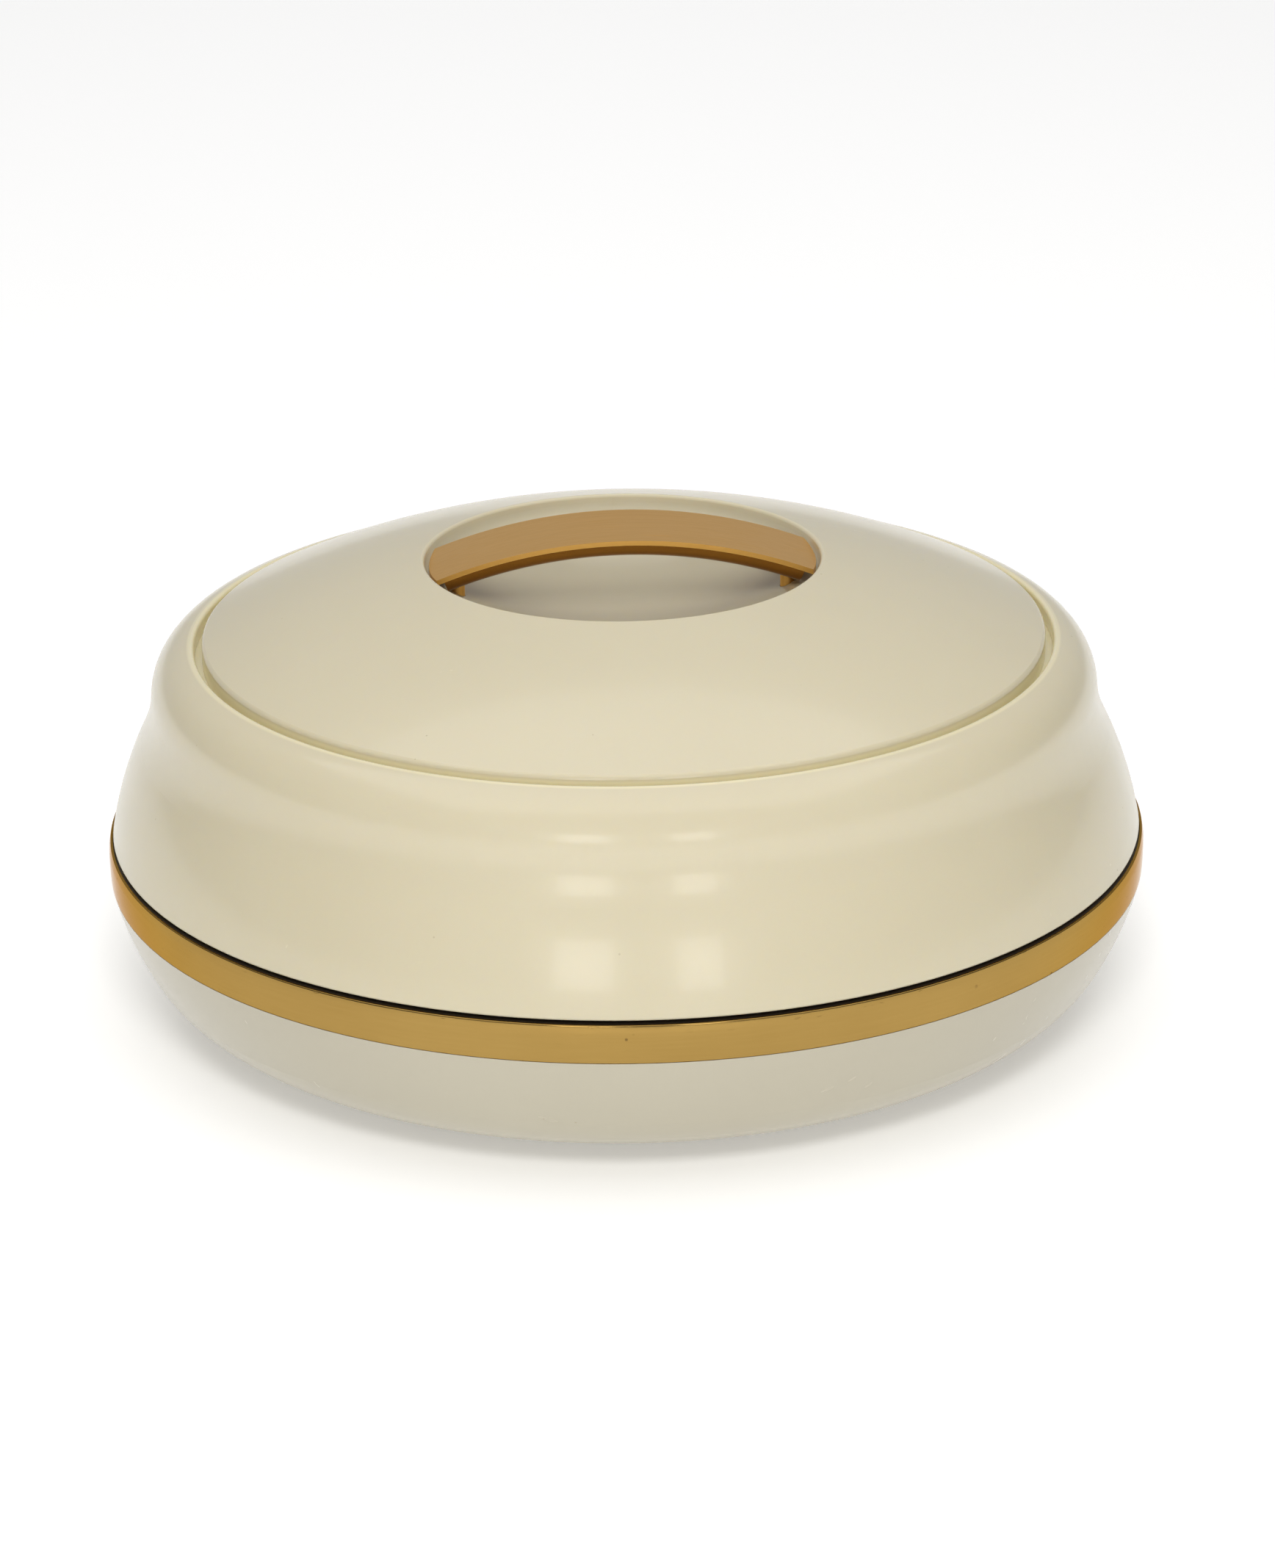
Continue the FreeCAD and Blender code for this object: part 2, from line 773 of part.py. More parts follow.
def make_lid_disc():
    """The domed disc with its finger dish, and a boss under each post of the handle."""
    body = new_body("lid_disc_blank")
    wall = size("disc_wall")
    rim_inner = disc_radius - wall
    dish_outer = size("recess_radius") + wall
    revolve(body, [
        (0, dish_floor),
        (dish_edge, dish_edge_up, dish_radius, "left"),
        (size("recess_radius"), recess_rim_up),
        (disc_radius, disc_edge_up, size("dome_radius"), "right"),
        (disc_radius, disc_seat),
        (rim_inner, disc_seat),
        (rim_inner, dome_height(rim_inner, wall)),
        (dish_outer, dome_height(dish_outer, wall), size("dome_radius") - wall, "left"),
        (dish_outer, dish_height(dish_outer, wall)),
        (0, dish_floor - wall, dish_radius + wall, "right"),
    ])
    round_edges(body, ring_edges(body, [(dish_edge, dish_edge_up)]), size("dish_fillet"))
    round_edges(body, ring_edges(body, [(size("recess_radius"), recess_rim_up)]), size("recess_round"))
    round_edges(body, ring_edges(body, [(disc_radius, disc_edge_up)]), size("disc_round"))
    bosses = upright_pair("post_boss", size("boss_radius"), boss_bottom, dish_edge_up)
    space = doc.addObject("Part::Sphere", "dish_space")
    space.setExpression("Radius", formula(dish_radius))
    space.setExpression("Placement.Base.z", formula(dish_centre_up))
    bosses = taken_from("post_bosses", grouped("tall_bosses", bosses), [space])
    solid = fused("lid_disc_solid", [body, bosses])
    holes = upright_pair("post_hole", post_hole, post_seat, dish_edge_up)
    screw_hole = size("screw_radius") + size("screw_gap")
    holes += upright_pair("screw_hole", screw_hole, boss_bottom - wall, dish_edge_up)
    return taken_from("lid_disc", solid, holes)


def make_handle_strap():
    """The arched plate, cut to the recess's circle, with a post under each end."""
    body = new_body("handle_strap")
    under = strap_radius - size("strap_wall")
    reach = size("recess_radius")
    top_end = strap_centre_up + leg(strap_radius, reach)
    under_end = strap_centre_up + leg(under, reach)
    pad_level(body, [
        (0 - reach, top_end),
        (reach, top_end, strap_radius, "right"),
        (reach, under_end),
        (0 - reach, under_end, under, "left"),
    ], size("strap_width"))
    trim = new_sketch(body, "XY_Plane")
    draw_circle(trim, 0, 0, strap_reach)
    draw_circle(trim, 0, 0, strap_reach + size("strap_width"))
    pocket(body, trim)
    crown = strap_centre_up + strap_radius
    pad_pair(body, size("post_radius"), post_seat, crown)
    clear_above(body, [
        (0 - reach, top_end),
        (reach, top_end, strap_radius, "right"),
        (reach, crown + size("strap_wall")),
        (0 - reach, crown + size("strap_wall")),
    ])
    pocket_pair(body, size("screw_radius") + size("seat_gap"), post_seat, size("post_bore_depth"))
    return body


def make_handle_grip():
    """The rounded bar under the plate, between the posts."""
    body = new_body("handle_grip")
    outer = strap_radius - size("strap_wall") - size("seat_gap")
    inner = outer - size("grip_depth")
    half = size("grip_half_length")
    end_up = leg(outer, half)
    inner_half = half * inner / outer
    inner_end_up = end_up * inner / outer
    pad_level(body, [
        (0 - half, strap_centre_up + end_up),
        (half, strap_centre_up + end_up, outer, "right"),
        (inner_half, strap_centre_up + inner_end_up),
        (0 - inner_half, strap_centre_up + inner_end_up, inner, "left"),
    ], size("grip_width"))
    round_edges(body, arch_edges(body, inner), size("grip_corner"))
    round_edges(body, arch_edges(body, outer), size("grip_shoulder"))
    return body


def arch_edges(body, radius):
    """The names of the long edges of the arch with this radius."""
    names = [name for name, curve in circles(body) if abs(curve.Radius - number(radius)) < TOUCH]
    if len(names) != 2:
        raise RuntimeError(f"{body.Label}: the arch does not have two long edges")
    return names


def make_handle_screws():
    body = new_body("handle_screws")
    axis = size("post_offset")
    head = size("screw_head_radius")
    height = size("screw_head_height")
    head_curve = (head * head + height * height) / (2 * height)
    tip = post_seat + size("screw_grip")
    revolve_on_post(body, [
        (axis, screw_head_bottom),
        (axis + head, screw_head_top, head_curve, "left"),
        (axis + size("screw_radius"), screw_head_top),
        (axis + size("screw_radius"), tip - size("screw_radius")),
        (axis, tip),
    ], screw_head_bottom, tip)
    return body


def make_handle_washers():
    body = new_body("handle_washers")
    axis = size("post_offset")
    hole = size("screw_radius") + size("screw_gap")
    revolve_on_post(body, [
        (axis + hole, screw_head_top),
        (axis + size("washer_radius"), screw_head_top),
        (axis + size("washer_radius"), boss_bottom),
        (axis + hole, boss_bottom),
    ], screw_head_top, boss_bottom)
    return body


def make_lid_liner():
    body = new_body("lid_liner")
    wall = size("liner_wall")
    flange_outer = skirt_reach(flange_top, size("lid_wall")) - size("seat_gap")
    spigot_inner = spigot_radius - wall
    trough = spigot_bottom + wall
    revolve(body, [
        (size("plug_radius"), ceiling),
        (ceiling_centre_across, ceiling),
        (*on_ceiling(0), size("ceiling_corner"), "right"),
        (liner_side(spigot_bottom, 0), spigot_bottom),
        (spigot_radius, spigot_bottom),
        (spigot_radius, flange_bottom),
        (flange_outer, flange_bottom),
        (flange_outer, flange_top),
        (spigot_inner, flange_top),
        (spigot_inner, trough),
        (liner_side(trough, wall), trough),
        on_ceiling(wall),
        (ceiling_centre_across, ceiling + wall, size("ceiling_corner") + wall, "left"),
        (size("plug_radius"), ceiling + wall),
    ])
    round_edges(body, ring_edges(body, [(spigot_radius, spigot_bottom)]), size("spigot_round"))
    return body


def make_lid_foam():
    body = new_body("lid_foam")
    gap = size("foam_gap")
    over_liner = size("liner_wall") + gap
    under_shell = size("lid_wall") + gap
    under_disc = size("disc_wall") + gap
    bottom = flange_top + gap
    groove_back = lip_radius + under_shell
    ledge_inner = lip_radius - size("ledge_width") - gap
    dish_outer = size("recess_radius") + under_disc
    revolve(body, [
        (0, ceiling + over_liner),
        (ceiling_centre_across, ceiling + over_liner),
        (*on_ceiling(over_liner), size("ceiling_corner") + over_liner, "right"),
        (liner_side(bottom, over_liner), bottom),
        (skirt_reach(bottom, under_shell), bottom),
        (*on_skirt(under_shell), size("skirt_radius") - under_shell, "left"),
        (*on_cove(under_shell), size("cove_radius") + under_shell, "right"),
        (groove_back, shoulder_height(groove_back, under_shell), size("shoulder_radius") - under_shell, "left"),
        (groove_back, disc_seat - under_shell),
        (ledge_inner, disc_seat - under_shell),
        (ledge_inner, dome_height(ledge_inner, under_disc)),
        (dish_outer, dome_height(dish_outer, under_disc), size("dome_radius") - under_disc, "left"),
        (dish_outer, dish_height(dish_outer, under_disc)),
        (0, dish_floor - under_disc, dish_radius + under_disc, "right"),
    ])
    pocket_pair(body, size("boss_radius") + gap, screw_head_bottom - gap)
    return body


NODES = [
    make_outer_bowl(),
    make_gold_band(),
    make_rim_collar(),
    make_steel_bowl(),
    make_base_foam(),
    make_plug("base_plug", size("foot_height"), size("bowl_wall")),
    make_lid_shell(),
    make_lid_disc(),
    make_handle_strap(),
    make_handle_grip(),
    make_handle_screws(),
    make_handle_washers(),
    make_lid_liner(),
    make_lid_foam(),
    make_plug("lid_plug", ceiling, size("liner_wall")),
]

doc.recompute()
for item in doc.Objects:
    if "Invalid" in item.State or "Error" in item.State:
        raise RuntimeError(f"{item.Label} failed: {item.State}")
for node in NODES:
    if node.Shape.isNull() or not node.Shape.isValid():
        raise RuntimeError(f"{node.Label} has no valid shape")

os.makedirs("parts", exist_ok=True)
for node in NODES:
    node.Shape.exportStep(f"parts/{node.Label}.step")
    print(node.Label, "solids", len(node.Shape.Solids), "volume", round(node.Shape.Volume))
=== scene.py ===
import math

import bpy
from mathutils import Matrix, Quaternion, Vector


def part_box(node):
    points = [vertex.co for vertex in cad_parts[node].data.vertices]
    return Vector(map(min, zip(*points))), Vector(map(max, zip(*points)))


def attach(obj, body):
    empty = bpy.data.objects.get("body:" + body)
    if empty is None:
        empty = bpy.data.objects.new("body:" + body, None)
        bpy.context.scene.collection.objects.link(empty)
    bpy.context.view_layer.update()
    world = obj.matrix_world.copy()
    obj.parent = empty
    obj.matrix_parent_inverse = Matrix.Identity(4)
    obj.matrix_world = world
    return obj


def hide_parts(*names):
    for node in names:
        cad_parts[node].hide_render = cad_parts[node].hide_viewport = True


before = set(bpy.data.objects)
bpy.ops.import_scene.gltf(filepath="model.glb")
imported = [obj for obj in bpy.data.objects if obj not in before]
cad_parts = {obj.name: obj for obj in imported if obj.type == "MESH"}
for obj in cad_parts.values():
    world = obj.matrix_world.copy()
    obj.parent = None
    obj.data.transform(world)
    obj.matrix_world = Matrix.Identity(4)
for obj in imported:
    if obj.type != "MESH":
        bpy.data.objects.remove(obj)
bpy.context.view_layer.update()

MM = 0.001
SHARP_FROM = math.radians(40.0)
RING_TURNS = 288
CORNER_STEPS = 10


class Value:
    """A shader socket that sums, differences and products can use."""

    def __init__(self, tree, link):
        self.tree = tree
        self.link = link

    def __add__(self, other):
        return self.tree.maths("ADD", self, other)

    def __radd__(self, other):
        return self.tree.maths("ADD", other, self)

    def __sub__(self, other):
        return self.tree.maths("SUBTRACT", self, other)

    def __rsub__(self, other):
        return self.tree.maths("SUBTRACT", other, self)

    def __mul__(self, other):
        return self.tree.maths("MULTIPLY", self, other)

    def __rmul__(self, other):
        return self.tree.maths("MULTIPLY", other, self)


class Tree:
    """A node tree and the ways to add nodes to it."""

    def __init__(self, graph):
        self.graph = graph

    def node(self, kind, settings=None, out=0, **sockets):
        """A new node, as the value of one of its outputs. in0, in1 and so on are inputs by number."""
        made = self.graph.nodes.new(kind)
        for key, value in (settings or {}).items():
            setattr(made, key, value)
        for key, value in sockets.items():
            by_number = key.startswith("in") and key[2:].isdigit()
            socket = made.inputs[int(key[2:]) if by_number else key.replace("_", " ")]
            if isinstance(value, Value):
                self.graph.links.new(value.link, socket)
            else:
                socket.default_value = value
        return Value(self, made.outputs[out])

    def maths(self, operation, first, second=0.0):
        return self.node("ShaderNodeMath", {"operation": operation}, in0=first, in1=second)

    def eased(self, value, low, high, at_low=0.0, at_high=1.0):
        """at_low where value is under low, at_high where it is over high, and smooth between."""
        return self.node(
            "ShaderNodeMapRange", {"interpolation_type": "SMOOTHSTEP"},
            in0=value, in1=low, in2=high, in3=at_low, in4=at_high,
        )

    def axes(self, place):
        """The three parts of a place."""
        parts = self.node("ShaderNodeSeparateXYZ", Vector=place)
        return [Value(self, socket) for socket in parts.link.node.outputs]


class Paint(Tree):
    """One material. Places on it are in metres from the middle of the casserole's foot."""

    def __init__(self, name, **constants):
        self.material = bpy.data.materials.new(name)
        self.material.use_nodes = True
        super().__init__(self.material.node_tree)
        self.shader = self.graph.nodes["Principled BSDF"]
        for socket, value in constants.items():
            self.shader.inputs[socket.replace("_", " ")].default_value = value
        self.place = self.node("ShaderNodeTexCoord", out="Object")

    def stretched(self, across, along, up):
        """The place with each axis scaled."""
        scales = (across, along, up)
        return self.node("ShaderNodeVectorMath", {"operation": "MULTIPLY"}, in0=self.place, in1=scales)

    def radius(self):
        """The distance out from the upright axis."""
        x, y, _ = self.axes(self.place)
        return self.maths("SQRT", x * x + y * y)

    def turned(self, rings, turns, levels):
        """The place in rings round the upright axis: distance out, angle and height, each scaled."""
        x, y, z = self.axes(self.place)
        angle = self.maths("ARCTAN2", y, x)
        return self.node("ShaderNodeCombineXYZ", in0=self.radius() * rings, in1=angle * turns, in2=z * levels)

    def noise(self, place, detail, scale=1.0):
        return self.node("ShaderNodeTexNoise", Vector=place, Detail=detail, Scale=scale)

    def cells(self, scale):
        return self.node("ShaderNodeTexVoronoi", out="Distance", Vector=self.place, Scale=scale)

    def blend(self, low, high, share):
        """A colour between low and high."""
        return self.node("ShaderNodeMix", {"data_type": "RGBA"}, out=2, in0=share, in6=low, in7=high)

    def bump(self, height, strength, distance):
        return self.node("ShaderNodeBump", Height=height, Strength=strength, Distance=distance)

    def feed(self, **sockets):
        """The material, with the values joined to its shader."""
        for socket, value in sockets.items():
            self.graph.links.new(value.link, self.shader.inputs[socket.replace("_", " ")])
        return self.material


DUST = (0.36, 0.30, 0.20, 1.0)
# The groove's painted light, a brighter warm ivory standing in for light glowing through the plastic, fades
# in and out between these pairs of radii and heights, in metres.
GROOVE_PAINTED_GLOW = (0.80, 0.73, 0.49, 1.0)
GROOVE_INNER = (0.1195, 0.1206)
GROOVE_OUTER = (0.1246, 0.1256)
GROOVE_FLOOR = (0.0900, 0.0950)
GROOVE_LIPS = (0.1082, 0.1096)


def gloss_plastic(name, light, shade, gloss, glow):
    """Moulded ivory plastic: a slight ripple, dust, a few hairline scratches and painted light in the groove,
    a brighter warm ivory.
    """
    paint = Paint(
        name, IOR=1.49, Coat_Weight=0.25, Coat_Roughness=0.07,
        Subsurface_Weight=glow, Subsurface_Scale=0.004, Subsurface_Radius=(1.0, 0.7, 0.3),
    )
    clouds = paint.noise(paint.place, detail=3.0, scale=14.0)
    grain = paint.noise(paint.place, detail=2.0, scale=900.0)
    dust = 1.0 - paint.eased(paint.cells(170.0), 0.035, 0.06)
    dusty_spots = paint.eased(paint.noise(paint.place, detail=1.0, scale=60.0), 0.62, 0.68)
    base = paint.blend(light, shade, clouds * 0.7 + grain * 0.12)
    dusty = paint.blend(base, DUST, dust * dusty_spots * 0.5)
    out = paint.radius()
    height = paint.axes(paint.place)[2]
    ring = paint.eased(out, *GROOVE_INNER) * (1.0 - paint.eased(out, *GROOVE_OUTER))
    sunk = paint.eased(height, *GROOVE_FLOOR) * (1.0 - paint.eased(height, *GROOVE_LIPS))
    # Painted light: the groove is blended to a brighter warm ivory, standing in for light glowing through the
    # plastic.
    colour = paint.blend(dusty, GROOVE_PAINTED_GLOW, ring * sunk)
    hairs = paint.noise(paint.stretched(across=30.0, along=420.0, up=160.0), detail=2.0)
    scratches = paint.eased(hairs, 0.70, 0.76)
    rough = clouds * 0.06 + scratches * 0.03 + grain * 0.03 + gloss
    ripple = paint.noise(paint.place, detail=1.0, scale=34.0)
    relief = paint.bump(ripple * 0.7 - scratches * 0.02, strength=0.07, distance=0.0008)
    return paint.feed(Base_Color=colour, Roughness=rough, Normal=relief)


# Painted shade: the colour the ledge darkens to in the narrow gap under the lid's edge.
LEDGE_PAINTED_SHADE = (0.035, 0.025, 0.015, 1.0)
# The painted shade of the ledge starts and is full at these radii, in metres.
LEDGE_INNER = (0.1445, 0.1465)


def shaded_ledge_plastic(name, light, shade):
    """Ivory plastic with painted shade on the outer edge of its ledge, in the narrow gap under the lid's
    edge, where it is also rougher.
    """
    paint = Paint(name, IOR=1.49)
    clouds = paint.noise(paint.place, detail=3.0, scale=24.0)
    # Painted shade, blended in towards the ledge's outer edge; the same share makes it rougher.
    painted_shade = paint.eased(paint.radius() + clouds * 0.0006, *LEDGE_INNER)
    unshaded = paint.blend(light, shade, clouds)
    colour = paint.blend(unshaded, LEDGE_PAINTED_SHADE, painted_shade)
    rough = painted_shade * 0.35 + clouds * 0.1 + 0.2
    grain = paint.noise(paint.place, detail=2.0, scale=1500.0)
    relief = paint.bump(grain, strength=0.15, distance=0.0002)
    return paint.feed(Base_Color=colour, Roughness=rough, Normal=relief)


def satin_plastic(name, light, shade):
    """Ivory plastic with a fine moulded texture, for the surfaces inside."""
    paint = Paint(name, IOR=1.49)
    clouds = paint.noise(paint.place, detail=3.0, scale=20.0)
    grain = paint.noise(paint.place, detail=2.0, scale=2200.0)
    swirl = paint.noise(paint.turned(rings=90.0, turns=3.0, levels=90.0), detail=2.0)
    colour = paint.blend(light, shade, clouds * 0.6 + swirl * 0.25)
    rough = grain * 0.12 + clouds * 0.08 + 0.33
    relief = paint.bump(grain * 0.6 + swirl * 0.3, strength=0.2, distance=0.0003)
    return paint.feed(Base_Color=colour, Roughness=rough, Normal=relief)


BAND_TINT = (0.8, 0.6, 0.42, 1.0)
BAND_SPECK = (0.10, 0.055, 0.02, 1.0)


def plated_band(name, light, deep):
    """Gloss gold plating with fine scratches round the ring and a few specks."""
    paint = Paint(name, Metallic=1.0, Specular_Tint=BAND_TINT, Coat_Weight=0.03, Coat_Roughness=0.06)
    clouds = paint.noise(paint.place, detail=3.0, scale=26.0)
    brushed = paint.noise(paint.turned(rings=400.0, turns=9.0, levels=1500.0), detail=3.0)
    hairs = paint.noise(paint.turned(rings=200.0, turns=30.0, levels=900.0), detail=1.0)
    scratches = paint.eased(hairs, 0.67, 0.74)
    specks = 1.0 - paint.eased(paint.cells(120.0), 0.05, 0.085)
    speckled_spots = paint.eased(paint.noise(paint.place, detail=1.0, scale=45.0), 0.55, 0.62)
    base = paint.blend(light, deep, clouds * 0.6 + brushed * 0.25)
    colour = paint.blend(base, BAND_SPECK, specks * speckled_spots * 0.7)
    rough = clouds * 0.05 + scratches * 0.14 + brushed * 0.04 + 0.07
    height = brushed * 0.3 - scratches * 0.4 - specks * speckled_spots
    relief = paint.bump(height, strength=0.12, distance=0.0002)
    return paint.feed(Base_Color=colour, Roughness=rough, Normal=relief)


def strap_gold(name, light, deep, least_rough):
    """Satin tan-gold plating with a fine lengthwise grain."""
    paint = Paint(name, Metallic=0.92, Coat_Weight=0.05, Coat_Roughness=0.2)
    clouds = paint.noise(paint.place, detail=3.0, scale=40.0)
    lines = paint.noise(paint.stretched(across=90.0, along=2600.0, up=900.0), detail=3.0)
    long_lines = paint.noise(paint.stretched(across=22.0, along=700.0, up=240.0), detail=2.0)
    hairs = paint.noise(paint.stretched(across=60.0, along=900.0, up=300.0), detail=1.0)
    scratches = paint.eased(hairs, 0.68, 0.74)
    colour = paint.blend(light, deep, lines * 0.45 + long_lines * 0.35 + clouds * 0.25)
    rough = lines * 0.14 + clouds * 0.08 + scratches * 0.1 + least_rough
    height = lines * 0.6 + long_lines * 0.3 - scratches * 0.5
    relief = paint.bump(height, strength=0.16, distance=0.0002)
    return paint.feed(Base_Color=colour, Roughness=rough, Normal=relief)


STEEL_LIGHT = (0.70, 0.70, 0.69, 1.0)
STEEL_DARK = (0.50, 0.50, 0.50, 1.0)


def spun_steel(name):
    """Stainless steel with the fine rings of its spinning and buffing."""
    paint = Paint(name, Metallic=1.0)
    rings = paint.noise(paint.turned(rings=1400.0, turns=1.4, levels=1400.0), detail=3.0)
    wide = paint.noise(paint.turned(rings=240.0, turns=0.6, levels=240.0), detail=2.0)
    clouds = paint.noise(paint.place, detail=3.0, scale=30.0)
    colour = paint.blend(STEEL_LIGHT, STEEL_DARK, rings * 0.5 + wide * 0.3 + clouds * 0.2)
    rough = rings * 0.14 + clouds * 0.1 + 0.16
    relief = paint.bump(rings * 0.6 + wide * 0.4, strength=0.2, distance=0.0002)
    return paint.feed(Base_Color=colour, Roughness=rough, Normal=relief)


ZINC_LIGHT = (0.62, 0.61, 0.57, 1.0)
ZINC_DARK = (0.40, 0.40, 0.38, 1.0)


def zinc(name):
    """Zinc plated steel, slightly mottled, with a faint yellow tint."""
    paint = Paint(name, Metallic=1.0)
    mottle = paint.noise(paint.place, detail=3.0, scale=700.0)
    turning = paint.noise(paint.turned(rings=5000.0, turns=2.0, levels=3000.0), detail=2.0)
    colour = paint.blend(ZINC_LIGHT, ZINC_DARK, mottle * 0.7 + turning * 0.3)
    rough = mottle * 0.2 + 0.25
    relief = paint.bump(turning + mottle * 0.3, strength=0.15, distance=0.0001)
    return paint.feed(Base_Color=colour, Roughness=rough, Normal=relief)


FOAM_LIGHT = (0.78, 0.69, 0.42, 1.0)
FOAM_DARK = (0.62, 0.50, 0.26, 1.0)


def rigid_foam(name):
    """Pale yellow rigid foam with its small closed cells."""
    paint = Paint(name, Roughness=0.9)
    small = paint.cells(900.0)
    large = paint.cells(260.0)
    clouds = paint.noise(paint.place, detail=4.0, scale=18.0)
    colour = paint.blend(FOAM_LIGHT, FOAM_DARK, small * 0.5 + clouds * 0.5)
    relief = paint.bump(small * 0.6 + large * 0.4, strength=0.6, distance=0.0006)
    return paint.feed(Base_Color=colour, Normal=relief)


LID_IVORY = gloss_plastic(
    "ivory_gloss_plastic",
    light=(0.64, 0.58, 0.42, 1.0), shade=(0.59, 0.53, 0.375, 1.0), gloss=0.19, glow=0.25,
)
# Painted shade: the bowl's ivory is a darker copy of the lid's, with the shade over the lower body painted
# in.
SHADED_BOWL_IVORY = gloss_plastic(
    "ivory_gloss_plastic_shaded_bowl",
    light=(0.50, 0.465, 0.36, 1.0), shade=(0.45, 0.41, 0.315, 1.0), gloss=0.21, glow=0.0,
)
COLLAR = shaded_ledge_plastic(
    "ivory_plastic_dark_ledge", light=(0.64, 0.58, 0.42, 1.0), shade=(0.58, 0.52, 0.37, 1.0)
)
LINER = satin_plastic("ivory_satin_plastic", light=(0.70, 0.64, 0.52, 1.0), shade=(0.64, 0.575, 0.45, 1.0))
BAND = plated_band("gold_plated_band", light=(0.44, 0.285, 0.085, 1.0), deep=(0.31, 0.185, 0.045, 1.0))
STRAP = strap_gold(
    "satin_gold_strap", light=(0.88, 0.52, 0.15, 1.0), deep=(0.70, 0.385, 0.09, 1.0), least_rough=0.26
)
# The grip's gold is the strap's made much darker: partly its own deeper brown-gold, partly painted shade and
# dark reflection from under the plate.
SHADED_GRIP = strap_gold(
    "dark_gold_grip", light=(0.36, 0.165, 0.028, 1.0), deep=(0.24, 0.10, 0.015, 1.0), least_rough=0.11
)
STEEL = spun_steel("spun_stainless_steel")
ZINC = zinc("zinc_plated_steel")
FOAM = rigid_foam("rigid_foam")

FINISHES = {
    "outer_bowl": (SHADED_BOWL_IVORY, "ivory_plastic"),
    "gold_band": (BAND, "gold_plate"),
    "rim_collar": (COLLAR, "ivory_plastic"),
    "steel_bowl": (STEEL, "stainless"),
    "base_foam": (FOAM, "foam"),
    "base_plug": (SHADED_BOWL_IVORY, "ivory_plastic"),
    "lid_shell": (LID_IVORY, "ivory_plastic"),
    "lid_disc": (LID_IVORY, "ivory_plastic"),
    "handle_strap": (STRAP, "gold_plate"),
    "handle_grip": (SHADED_GRIP, "gold_grip"),
    "handle_screws": (ZINC, "screw_steel"),
    "handle_washers": (ZINC, "screw_steel"),
    "lid_liner": (LINER, "liner_plastic"),
    "lid_foam": (FOAM, "foam"),
    "lid_plug": (LINER, "liner_plastic"),
}
for node, (material, slot) in FINISHES.items():
    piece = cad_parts[node]
    piece.data.materials.clear()
    piece.data.materials.append(material)


def smooth_object(name, points, faces):
    """A mesh object in the scene, smooth but for its sharp edges."""
    mesh = bpy.data.meshes.new(name)
    mesh.from_pydata(points, [], faces)
    mesh.update()
    mesh.polygons.foreach_set("use_smooth", [True] * len(mesh.polygons))
    mesh.set_sharp_from_angle(angle=SHARP_FROM)
    made = bpy.data.objects.new(name, mesh)
    bpy.context.scene.collection.objects.link(made)
    return made


def lofted(name, rings):
    """A closed skin through rings of points, with a flat cap at each end."""
    count = len(rings[0])
    points = [point for ring in rings for point in ring]
    faces = []
    for ring in range(len(rings) - 1):
        for step in range(count):
            here, beside = ring * count + step, ring * count + (step + 1) % count
            faces.append((here, beside, beside + count, here + count))
    faces.append(tuple(reversed(range(count))))
    faces.append(tuple(range((len(rings) - 1) * count, len(rings) * count)))
    return smooth_object(name, points, faces)


def turned_ring(name, outline):
    """A ring with the given outline of (radius, height) points, turned round the upright axis."""
    count = len(outline)
    points = []
    for turn in range(RING_TURNS):
        angle = 2 * math.pi * turn / RING_TURNS
        points.extend((radius * math.cos(angle), radius * math.sin(angle), up) for radius, up in outline)
    faces = []
    for turn in range(RING_TURNS):
        here, beside = turn * count, (turn + 1) % RING_TURNS * count
        for step in range(count):
            after = (step + 1) % count
            faces.append((here + step, beside + step, beside + after, here + after))
    return smooth_object(name, points, faces)


def rounded_corners(corners):
    """Points round a convex outline, given as (across, up, radius) corners in order."""
    points = []
    for index, (across, up, radius) in enumerate(corners):
        here = Vector((across, up))
        before = Vector(corners[index - 1][:2])
        after = Vector(corners[(index + 1) % len(corners)][:2])
        to_before, to_after = (before - here).normalized(), (after - here).normalized()
        half = to_before.angle(to_after) / 2
        start = here + to_before * radius / math.tan(half)
        end = here + to_after * radius / math.tan(half)
        middle = here + (to_before + to_after).normalized() * radius / math.sin(half)
        for step in range(CORNER_STEPS + 1):
            spoke = (start - middle).normalized().slerp((end - middle).normalized(), step / CORNER_STEPS)
            points.append(middle + spoke.normalized() * radius)
    return points


BAND_CROWN = 0.22 * MM
BEVEL_DEPTH = 0.36 * MM
BEVEL_HEIGHT = 1.6 * MM
BEVEL_END = 0.08
BAND_TOP_ROUND = 0.3 * MM
BAND_FOOT_ROUND = 0.5 * MM
ROUND_STEP = 15
FACE_STEPS = 16


